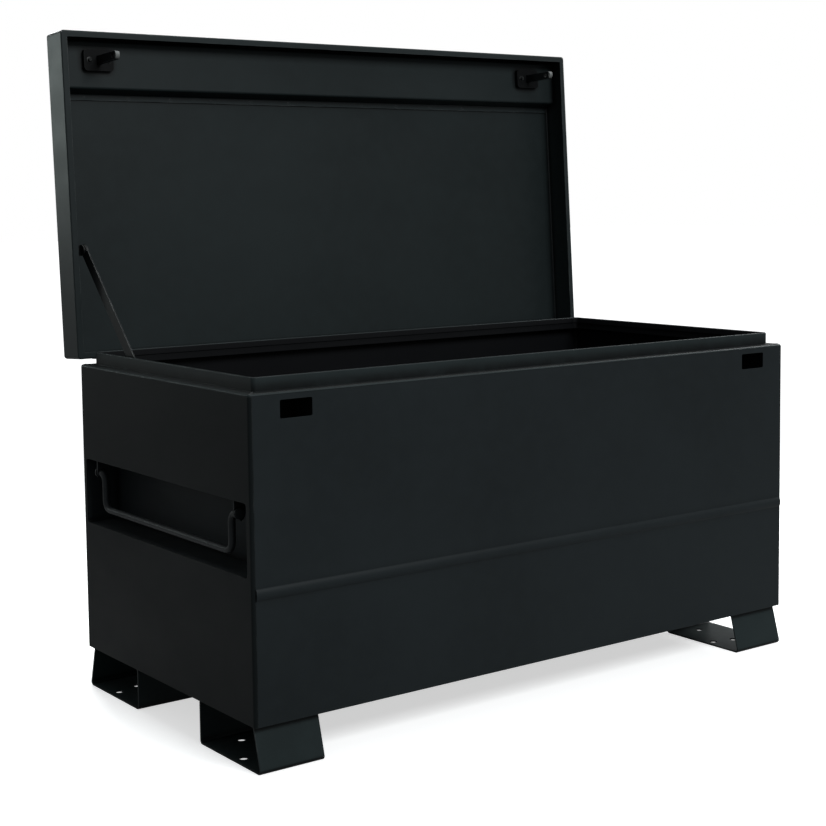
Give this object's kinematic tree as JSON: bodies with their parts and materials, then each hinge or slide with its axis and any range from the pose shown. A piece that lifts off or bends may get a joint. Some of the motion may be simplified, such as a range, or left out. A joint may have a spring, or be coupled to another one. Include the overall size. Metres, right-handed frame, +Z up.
{
  "type": "jobsite storage box",
  "caption": "Steel jobsite storage chest on channel feet, lid open on a full-width hinge with a stay, recessed lifting bails in the ends and lock windows in the front.",
  "frame": {"origin": "on the ground under the middle of the open box's bounding box", "axes": "+Z up, the front with the lock windows faces -Y, and +X runs to the right along the front"},
  "size_m": [1.22, 0.7126, 1.2098],
  "materials": {
    "body_paint": "satin charcoal powder coat",
    "rim_paint": "satin charcoal powder coat",
    "lid_paint": "satin charcoal powder coat",
    "foot_paint": "satin charcoal powder coat",
    "hardware_paint": "black powder coat",
    "zinc": "zinc plate"
  },
  "bodies": {
    "box": {"front_panel": "body_paint", "back_panel": "body_paint", "floor_panel": "body_paint", "left_side_panel": "body_paint", "right_side_panel": "body_paint", "rim_frame": "rim_paint", "left_handle_pocket": "body_paint", "right_handle_pocket": "body_paint", "left_lock_housing": "hardware_paint", "right_lock_housing": "hardware_paint", "front_left_foot": "foot_paint", "front_right_foot": "foot_paint", "rear_left_foot": "foot_paint", "rear_right_foot": "foot_paint", "hinge_body_leaf": "lid_paint", "hinge_pin": "zinc", "stay_track": "hardware_paint"},
    "lid": {"lid_shell": "lid_paint", "hinge_lid_leaf": "lid_paint", "latch_channel": "lid_paint", "left_latch_bracket": "hardware_paint", "right_latch_bracket": "hardware_paint", "left_lock_staple": "zinc", "right_lock_staple": "zinc", "stay_bracket": "hardware_paint"},
    "stay": {"stay_arm": "hardware_paint", "stay_guide_stud": "zinc"},
    "left_bail": {"left_lift_handle": "foot_paint"},
    "right_bail": {"right_lift_handle": "foot_paint"}
  },
  "joints": [
    {"name": "lid_hinge", "type": "hinge", "parent": "box", "child": "lid", "pos_m": [0, 0.25471, 0.604], "axis": [1, 0, 0], "range_deg": [0, 93.4]},
    {"name": "stay_pivot", "type": "hinge", "parent": "lid", "child": "stay", "pos_m": [-0.5805, 0.28084, 0.80781], "axis": [1, 0, 0], "range_deg": [-121.5, 0]},
    {"name": "left_bail_swing", "type": "hinge", "parent": "box", "child": "left_bail", "pos_m": [-0.601, -0.05129, 0.407], "axis": [0, 1, 0], "range_deg": [-48, 95]},
    {"name": "right_bail_swing", "type": "hinge", "parent": "box", "child": "right_bail", "pos_m": [0.601, -0.05129, 0.407], "axis": [0, -1, 0], "range_deg": [-48, 95]}
  ],
  "couplings": [
    {"joint": "stay_pivot", "follows": "lid_hinge", "ratio": -1.3}
  ]
}
